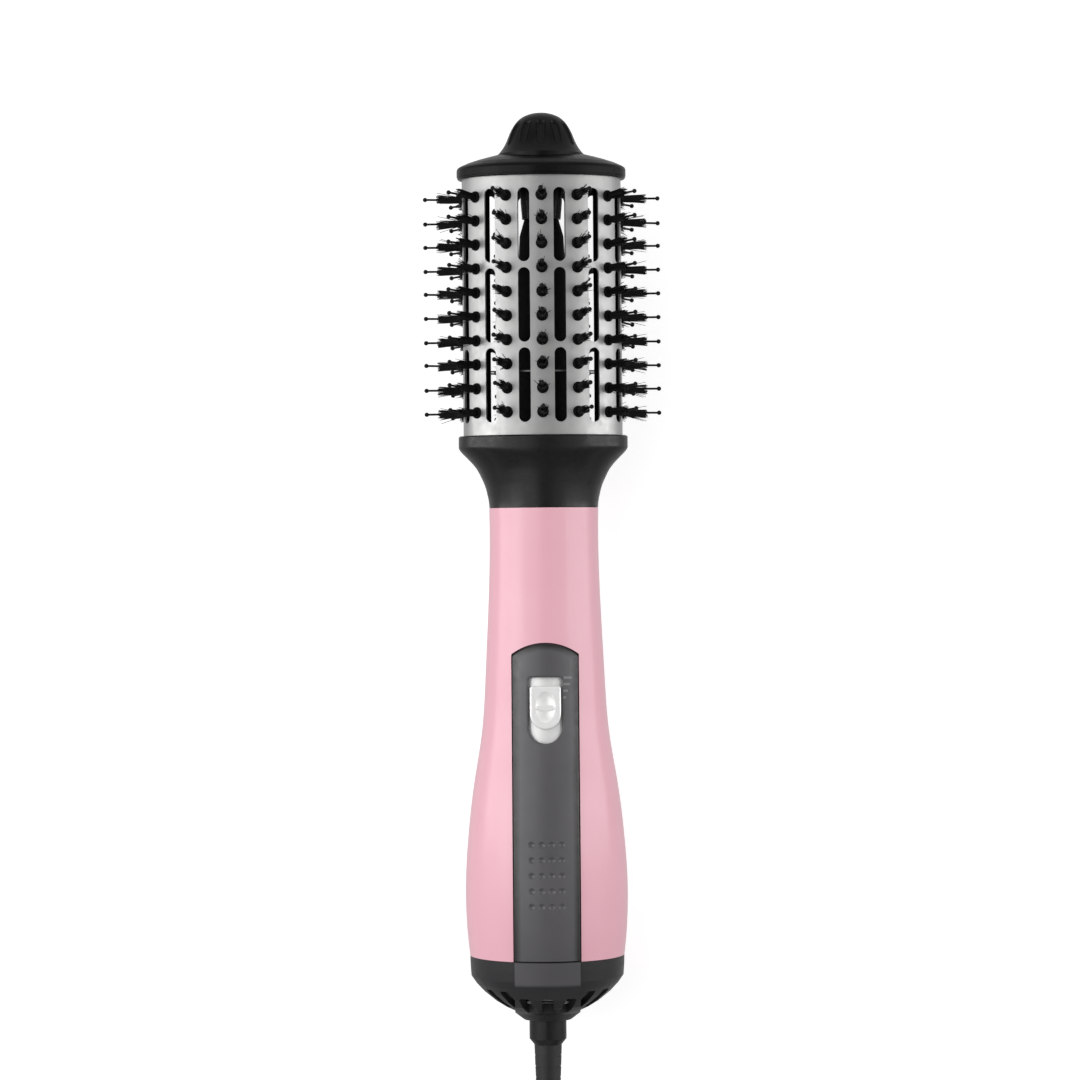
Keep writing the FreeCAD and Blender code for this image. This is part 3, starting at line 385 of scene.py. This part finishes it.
def from_outline(tree, across, along, gap):
    """How far a point lies outside an outline that stands gap outside the panel's own."""
    aside = math_node(tree, "SUBTRACT", math_node(tree, "ABSOLUTE", across), PANEL_HALF + gap)
    height = math_node(tree, "MAXIMUM", math_node(tree, "SUBTRACT", along, PANEL_ARCH_Y))
    squares = math_node(tree, "ADD", math_node(tree, "POWER", across, 2.0),
                        math_node(tree, "POWER", height, 2.0))
    from_arch = math_node(tree, "SUBTRACT", math_node(tree, "SQRT", squares), PANEL_ARCH_R + gap)
    return math_node(tree, "MAXIMUM", aside, from_arch)


# ---- materials ----
def shade_plain_materials():
    shade("handle_pink", *PINK, PINK_ROUGH, PINK_GRAIN, **PINK_GLOSS)
    shade("panel_grey", *GREY, PANEL_ROUGH, PANEL_GRAIN, specular_ior_level=0.7)
    shade("black_plastic", *BLACK, 0.32, (3800, 1.0e-5), specular_ior_level=0.30)
    shade("tip_black", (0.0030, 0.0030, 0.0030), (0.0022, 0.0022, 0.0022), 0.30, (3800, 1.0e-5),
          specular_ior_level=0.15)
    shade("inner_black", (0.0030, 0.0030, 0.0030), (0.0020, 0.0020, 0.0020), 0.60, (3800, 1.0e-5),
          specular_ior_level=0.10)
    shade("barrel_silver", (0.43, 0.43, 0.425), (0.405, 0.405, 0.40), 0.38, (5200, 8e-6), metallic=0.65)
    shade("bristle_black", (0.004, 0.004, 0.004), (0.003, 0.003, 0.003), 0.42, (2500, 6e-6),
          specular_ior_level=0.20)
    shade("button_silver", (0.96, 0.96, 0.95), (0.94, 0.94, 0.93), 0.25, (1800, 1e-6), uneven=0.01,
          metallic=0.25)
    shade("mica", (0.50, 0.44, 0.33), (0.33, 0.28, 0.20), 0.45, (900, 6e-5), drift=260.0)
    shade("heater_wire", (0.30, 0.27, 0.25), (0.16, 0.13, 0.12), 0.45, (2500, 1e-5), metallic=0.9)
    shade("motor_steel", (0.50, 0.50, 0.51), (0.40, 0.40, 0.41), 0.34, (3000, 6e-6), metallic=1.0)
    shade("bush_brass", (0.66, 0.47, 0.20), (0.52, 0.36, 0.15), 0.36, (3000, 8e-6), metallic=1.0)
    shade("screw_steel", (0.26, 0.26, 0.27), (0.18, 0.18, 0.19), 0.40, (2600, 8e-6), metallic=0.8)
    shade("board_green", (0.020, 0.12, 0.045), (0.014, 0.085, 0.032), 0.38, (1600, 2e-5), drift=300.0)
    shade("duct_plastic", (0.22, 0.22, 0.23), (0.18, 0.18, 0.19), 0.46, (3400, 1.4e-5))
    shade("fan_plastic", (0.70, 0.70, 0.67), (0.63, 0.63, 0.60), 0.40, (2600, 1.0e-5))
    shade("screen_black", (0.020, 0.020, 0.020), (0.012, 0.012, 0.012), 0.50, (2800, 1.4e-5))
    shade("cord_rubber", (0.013, 0.013, 0.013), (0.009, 0.009, 0.009), 0.48, (3200, 2.0e-5), drift=120.0)
    shade("tie_plastic", (0.020, 0.020, 0.021), (0.012, 0.012, 0.013), 0.70, (5200, 4.0e-5), drift=500.0)
    shade("blade_metal", (0.74, 0.62, 0.38), (0.66, 0.54, 0.32), 0.26, (1500, 6e-6), metallic=1.0)
    shade("print_grey", (0.24, 0.24, 0.24), (0.20, 0.20, 0.20), 0.5, (3000, 4e-6))


def shade_front_shell():
    """The front shell is pink outside; the pocket that the panel lies in is painted near black as shade."""
    made = shade("pink_with_painted_pocket_shade", *PINK, PINK_ROUGH, PINK_GRAIN, **PINK_GLOSS)
    tree = made.node_tree
    across, along, above = brush_coordinates(tree)
    inside = math_node(tree, "LESS_THAN", from_outline(tree, across, along, POCKET_GAP))
    front = math_node(tree, "GREATER_THAN", above, POCKET_LOW_Z)
    # painted shade: the pocket's walls and floor are painted near black where shade falls between panel and shell
    paint_over(tree, all_of(tree, inside, front), *POCKET_SHADE)
    return made


def shade_panel():
    """The panel is dark grey, with painted shade that goes nearly black where its face turns down at the edge."""
    made = shade("panel_painted_edge_shade", *GREY, PANEL_ROUGH, PANEL_GRAIN, specular_ior_level=0.6)
    tree = made.node_tree
    across, along, _ = brush_coordinates(tree)
    outside = from_outline(tree, across, along, 0.0)
    # painted shade: the edge of the panel is painted nearly black, standing in for the shade on its rounded edge
    paint_over(tree, ramp_node(tree, outside, -PANEL_EDGE, -PANEL_EDGE_DARKEST), *EDGE_SHADE)
    return made


def shade_end_cap():
    """The cap is dark grey; the band of its strip beside the panel is as light as the panel, and below the band
    the strip fades into the cap's darker grey as painted shade on the lower facet.
    """
    made = shade("cap_two_tone_painted_shade", *CAP_GREY, 0.38, (4000, 1.2e-5), specular_ior_level=0.22)
    tree = made.node_tree
    across, along, above = brush_coordinates(tree)
    inside = math_node(tree, "LESS_THAN", math_node(tree, "ABSOLUTE", across), BAND_HALF)
    front = math_node(tree, "GREATER_THAN", above)
    below_top = math_node(tree, "LESS_THAN", along, BAND_TOP)
    # painted shade: below the band's lower end the strip keeps the cap's darker grey
    above_painted_shade = ramp_node(tree, along, BAND_LOW - BAND_SHADE_FADE, BAND_LOW)
    paint_over(tree, all_of(tree, inside, front, below_top, above_painted_shade), *GREY)
    return made


def shade_cad_nodes():
    """The record's materials, with the blacks told apart and three parts painted by place: painted shade in the
    front shell's pocket, along the panel's edge and on the end cap's lower facet.
    """
    own = {"inlet_end_cap": shade_end_cap(), "handle_front_shell": shade_front_shell(),
           "switch_panel": shade_panel(), "cool_tip_knob": MATERIALS["tip_black"],
           "barrel_end_cap": MATERIALS["tip_black"], "air_guide_core": MATERIALS["inner_black"]}
    own.update({name: MATERIALS["inner_black"] for name in SLOTS if name.startswith("bristle_strip")})
    for name, node in frame["nodes"].items():
        node.data.materials.clear()
        node.data.materials.append(own.get(name, MATERIALS[SLOTS[name]]))


# ---- cord, plug and tie ----
def coil_points():
    """The coil's turns: inwards on the upper layer, a drop to the lower one, and outwards again.

    The points stand slightly outside the turns, because the spline passes inside its points.
    """
    total = TURN_END - TURN_START
    count = round(TURN_POINTS * total / 360)
    widen = 1 / math.cos(math.radians(0.5 * total / count))
    points = []
    for k in range(1, count + 1):
        angle = TURN_START + total * k / count
        drop = min(1.0, max(0.0, (angle - TURN_INNER) / TURN_DOWN))
        if angle < TURN_INNER:
            inwards = (angle - TURN_START) / (TURN_INNER - TURN_START)
            radius = COIL_OUTER + (COIL_INNER - COIL_OUTER) * inwards
        else:
            outwards = max(0.0, angle - TURN_INNER - TURN_DOWN) / (TURN_END - TURN_INNER - TURN_DOWN)
            radius = COIL_INNER + (COIL_OUTER - COIL_INNER) * outwards - DROP_INSET * math.sin(math.pi * drop)
        radius *= widen
        height = COIL_TOP_Z + (COIL_LOW_Z - COIL_TOP_Z) * drop * drop * (3 - 2 * drop)
        turn = math.radians(angle)
        points.append((COIL_X + radius * math.cos(turn), COIL_Y + radius * math.sin(turn), height))
    return points


def make_cord():
    """The free cord: a lead from the strain relief, the coil, and a tail into the plug."""
    curve = bpy.data.curves.new("power_cord_run", "CURVE")
    curve.dimensions = "3D"
    spline = curve.splines.new("NURBS")
    route = LEAD + coil_points() + TAIL
    spline.points.add(len(route) - 1)
    for point, place in zip(spline.points, route):
        point.co = (*place, 1)
    spline.order_u = 3
    spline.use_endpoint_u = True
    spline.resolution_u = 6
    curve.bevel_depth = CORD_R
    curve.bevel_resolution = 5
    curve.use_fill_caps = True
    cord = bpy.data.objects.new("power_cord_run", curve)
    bpy.context.scene.collection.objects.link(cord)
    curve.materials.append(MATERIALS["cord_rubber"])
    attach(cord, "brush")
    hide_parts("power_cord", "cord_coil")
    return cord


def make_plug():
    """Moulded plug with a tapered neck and grip grooves, lying flat behind the blades."""
    across, up = Vector((1, 0, 0)), Vector((0, 0, 1))
    profile = list(PLUG_NECK)
    for k in range(GROOVES):
        profile += [(GROOVE_START + GROOVE_PITCH * k + step, *shape) for step, *shape in PLUG_GROOVE]
    profile += PLUG_FRONT
    rings = []
    for ahead, half_a, half_b, power in profile:
        centre = (PLUG_X, PLUG_Y - ahead * MM, PLUG_Z)
        rings.append(squircle(centre, across, up, half_a * MM, half_b * MM, power))
    points, faces = loft(rings)
    plug = make_piece("plug_moulding", points, faces, "brush", "cord_rubber", smooth_angle=50.0)
    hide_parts("plug_body")
    return plug


def strap_section(half_width, inner, outer):
    """The strap's four corners, from (y, z) on its inner face and on its outer one."""
    corners = ((-1, inner), (1, inner), (1, outer), (-1, outer))
    return [Vector((COIL_X + side * half_width, *place)) for side, place in corners]


def make_tie():
    """Strap round the coil, with its free end lying on top."""
    near, far = COIL_Y - COIL_OUTER - CORD_R, COIL_Y - COIL_INNER + CORD_R
    low, high = COIL_LOW_Z - CORD_R, COIL_TOP_Z + CORD_R
    near_y, far_y = near + TIE_CORNER_R, far - TIE_CORNER_R
    low_z, high_z = low + TIE_CORNER_R, high - TIE_CORNER_R
    rings = []
    for y, z, start in ((far_y, high_z, 0), (near_y, high_z, 90), (near_y, low_z, 180), (far_y, low_z, 270)):
        for k in range(TIE_CORNER_STEPS + 1):
            turn = math.radians(start + 90 * k / TIE_CORNER_STEPS)
            inner, outer = [(y + reach * math.cos(turn), z + reach * math.sin(turn))
                            for reach in (TIE_CORNER_R, TIE_CORNER_R + TIE_THICK)]
            rings.append(strap_section(TIE_HALF, inner, outer))
    rings.append(rings[0])
    points, faces = loft(rings, False)
    tab = []
    for k in range(TAB_STEPS + 1):
        y = near + TAB_START + TAB_LENGTH * k / TAB_STEPS
        curl = max(0.0, (k - TAB_FLAT) / (TAB_STEPS - TAB_FLAT)) ** 2
        lift = high + TIE_THICK + TAB_GAP + TAB_CURL * curl
        narrow = 1.0 - TAB_TAPER * max(0, k - TAB_FULL)
        tab.append(strap_section(narrow * TIE_HALF, (y, lift), (y, lift + TIE_THICK)))
    more, more_faces = loft(tab)
    shift = len(points)
    points += more
    faces += [tuple(i + shift for i in face) for face in more_faces]
    tie = make_piece("cord_tie_strap", points, faces, "brush", "tie_plastic", smooth_angle=35.0)
    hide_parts("cord_tie")
    return tie


# ---- bristles ----
def barrel_point(share):
    """Place and outward direction, in the tool frame, at a share of the way round the oval barrel."""
    steps = 2400
    lengths = [0.0]
    for k in range(steps):
        t = 2 * math.pi * (k + 0.5) / steps
        lengths.append(lengths[-1] + math.hypot(BARREL_A * math.cos(t), BARREL_B * math.sin(t)))
    k = min(range(steps + 1), key=lambda i: abs(lengths[i] - share * lengths[-1]))
    t = 2 * math.pi * k / steps
    normal = Vector((math.sin(t) / BARREL_A, 0, math.cos(t) / BARREL_B)).normalized()
    return Vector((BARREL_A * math.sin(t), 0, BARREL_B * math.cos(t))), normal


def add_strand(points, faces, line, radii, sides):
    """Appends a thin closed strand along a line of tool-frame points, with a radius at each of them."""
    start = len(points)
    heading = (line[-1] - line[0]).normalized()
    across = heading.orthogonal().normalized()
    up = heading.cross(across)
    for place, radius in zip(line, radii):
        for k in range(sides):
            t = 2 * math.pi * k / sides
            points.append(place + across * (radius * math.cos(t)) + up * (radius * math.sin(t)))
    for ring in range(len(line) - 1):
        for k in range(sides):
            a, b = start + ring * sides + k, start + ring * sides + (k + 1) % sides
            faces.append((a, b, b + sides, a + sides))
    faces.append(tuple(start + (len(line) - 1) * sides + k for k in range(sides)))
    faces.append(tuple(start + k for k in reversed(range(sides))))


def ball_mesh(radius):
    made = bmesh.new()
    bmesh.ops.create_icosphere(made, subdivisions=2, radius=radius)
    points = [vert.co.copy() for vert in made.verts]
    faces = [tuple(vert.index for vert in face.verts) for face in made.faces]
    made.free()
    return points, faces


def make_tufts():
    """One piece for each column: ten ball-tipped pins, each in a tuft of nylon hairs."""
    draw = random.Random(11)
    ball_points, ball_faces = ball_mesh(BALL_R)
    for column in range(COLUMNS):
        foot, out = barrel_point(column / COLUMNS)
        side = Vector((0, 1, 0)).cross(out)
        points, faces = [], []
        for row in range(ROWS):
            base = foot + Vector((0, ROW_TOP - row * ROW_PITCH, 0)) + out * BOSS_TOP
            lean = side * draw.gauss(0, PIN_SCATTER)
            lean += Vector((0, PIN_LEAN * out.z + draw.gauss(0, PIN_SCATTER), 0))
            axis = (out + lean).normalized()
            tip = base + axis * (PIN_LENGTH - BALL_R - BOSS_TOP)
            add_strand(points, faces, [base - out * PIN_SUNK, base.lerp(tip, 0.5), tip],
                       [PIN_FLARE * PIN_R, PIN_R, PIN_R], PIN_SIDES)
            start = len(points)
            points += [tip + p for p in ball_points]
            faces += [tuple(start + i for i in face) for face in ball_faces]
            add_hairs(points, faces, base, axis, side, draw)
        name = "%02d" % (column + 1)
        world = [TOOL @ p for p in points]
        tuft = make_piece("bristle_hair_" + name, world, faces, "brush", "bristle_black", smooth_angle=60.0)
        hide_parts("bristle_tufts_" + name)


def add_hairs(points, faces, base, out, side, draw):
    """Hairs of one tuft, packed at the root and splayed and ragged at the ends."""
    along = Vector((0, 1, 0))
    sweep = side * draw.gauss(0, TUFT_SWEEP) + along * draw.gauss(0, TUFT_SWEEP)
    for k in range(HAIRS):
        share = math.sqrt((k + 0.5) / HAIRS)
        turn = GOLDEN_TURN * k + draw.uniform(-TURN_SCATTER, TURN_SCATTER)
        away = side * math.cos(turn) + along * math.sin(turn)
        root = base - out * HAIR_SUNK + away * (TUFT_ROOT_R * share)
        splay = HAIR_SPLAY * share + abs(draw.gauss(0, SPLAY_SCATTER))
        if draw.random() < STRAYS:
            splay += draw.uniform(STRAY_LEAST, STRAY_MOST)
        length = HAIR_LENGTH * draw.uniform(HAIR_SHORTEST, HAIR_LONGEST)
        heading = (out + away * splay + sweep).normalized()
        bend = (side * draw.gauss(0, 1) + along * draw.gauss(0, 1)) * HAIR_BEND
        line = [root, root + heading * 0.5 * length + bend * BEND_HALFWAY, root + heading * length + bend]
        add_strand(points, faces, line, [HAIR_R, HAIR_R, HAIR_TIP * HAIR_R], HAIR_SIDES)


# ---- switch marks and flash lines ----
def surface_of(node):
    mesh = frame["nodes"][node].data
    return BVHTree.FromPolygons([v.co for v in mesh.vertices], [tuple(p.vertices) for p in mesh.polygons])


def surface_point(surface, x, y):
    """Point of a CAD surface under (x, y) of the tool frame, seen from the switch side, in the tool frame."""
    hit = surface.ray_cast(TOOL @ Vector((x, y, OVERHEAD)), -UP)
    return TOOL.inverted() @ hit[0]


def make_switch_marks():
    """Printed level marks beside the switch: four bars, the longest nearest the barrel."""
    surface = surface_of("switch_panel")
    points, faces = [], []
    for level, y in enumerate(MARK_PLACES):
        width = (MARK_LONGEST - MARK_SHORTER * level) * MM
        start = len(points)
        for k in range(MARK_COLUMNS + 1):
            x = MARK_X + width * k / MARK_COLUMNS
            for side in (-1, 1):
                place = surface_point(surface, x, y * MM + side * MARK_HALF)
                outward = Vector((place.x, 0, place.z)).normalized()
                points.append(TOOL @ (place + outward * MARK_LIFT))
        for first in range(start, start + 2 * MARK_COLUMNS, 2):
            faces.append((first, first + 2, first + 3, first + 1))
    make_piece("switch_marks", points, faces, "brush", "print_grey")


def make_mould_lines():
    """Flash lines along the front and the back of the swivel sleeve."""
    points, faces = [], []
    for y_high, y_low, r_high, r_low in FLASH_RUNS:
        for turn in (FLASH_TURN, FLASH_TURN + math.pi):
            out = Vector((math.sin(turn), 0, math.cos(turn)))
            line = [Vector((0, y * MM, 0)) + out * r * MM for y, r in ((y_high, r_high), (y_low, r_low))]
            add_strand(points, faces, line, [FLASH_R, FLASH_R], FLASH_SIDES)
    world = [TOOL @ p for p in points]
    make_piece("swivel_mould_line", world, faces, "cord_swivel_body", "black_plastic")


# ---- floor and studio light ----
def make_floor():
    mesh = bpy.data.meshes.new("floor")
    corners = [(x * FLOOR_REACH, y * FLOOR_REACH, 0) for x, y in ((-1, -1), (1, -1), (1, 1), (-1, 1))]
    mesh.from_pydata(corners, [], [(0, 1, 2, 3)])
    floor = bpy.data.objects.new("floor", mesh)
    bpy.context.scene.collection.objects.link(floor)
    made = shade("floor_white", (0.50, 0.50, 0.50), (0.49, 0.49, 0.49), 0.8, (400, 1e-5), drift=6.0,
                 specular_ior_level=0.1)
    shader = made.node_tree.nodes["Principled BSDF"]
    shader.inputs["Emission Color"].default_value = (1, 1, 1, 1)
    shader.inputs["Emission Strength"].default_value = FLOOR_GLOW
    mesh.materials.append(made)
    floor.visible_diffuse = False
    floor.visible_glossy = False


def area_light(name, place, aim, size, power):
    """Softbox: place and aim in the tool frame, size (width, height) in metres."""
    data = bpy.data.lights.new(name, "AREA")
    data.shape = "RECTANGLE"
    data.size, data.size_y = size
    data.energy = power
    light = bpy.data.objects.new(name, data)
    bpy.context.scene.collection.objects.link(light)
    position, target = TOOL @ Vector(place), TOOL @ Vector(aim)
    light.location = position
    light.rotation_mode = "QUATERNION"
    light.rotation_quaternion = (target - position).to_track_quat("-Z", "Y")


def sky_ramp(tree, height, stops):
    """Brightness of the surroundings by height, from stops of (sine of the height angle, brightness)."""
    ramp = tree.nodes.new("ShaderNodeValToRGB")
    marks = ramp.color_ramp.elements
    while len(marks) < len(stops):
        marks.new(0.5)
    for mark, (position, value) in zip(marks, stops):
        mark.position = 0.5 + 0.5 * position
        mark.color = (value, value, value, 1)
    tree.links.new(ramp_node(tree, height, -1.0, 1.0), ramp.inputs["Fac"])
    return ramp.outputs["Color"]


def make_surroundings():
    """A pale room: brightest at the horizon, darker overhead and above the cord's end."""
    world = bpy.data.worlds.new("studio")
    bpy.context.scene.world = world
    world.use_nodes = True
    tree = world.node_tree
    parts = tree.nodes.new("ShaderNodeSeparateXYZ")
    tree.links.new(tree.nodes.new("ShaderNodeTexCoord").outputs["Generated"], parts.inputs["Vector"])
    bright = sky_ramp(tree, parts.outputs["Z"], ROOM_BRIGHT)
    dim = sky_ramp(tree, parts.outputs["Z"], ROOM_DIM)
    share = ramp_node(tree, parts.outputs["Y"], ALL_DIM, ALL_BRIGHT)
    background = tree.nodes["Background"]
    tree.links.new(mix_colours(tree, share, dim, bright), background.inputs["Color"])
    background.inputs["Strength"].default_value = 1.0


make_camera()
shade_plain_materials()
shade_cad_nodes()
power_cord = make_cord()
plug = make_plug()
tie = make_tie()
make_tufts()
make_switch_marks()
make_mould_lines()
make_floor()
make_surroundings()
for softbox in SOFTBOXES:
    area_light(*softbox)
bpy.context.scene.view_settings.view_transform = "Standard"
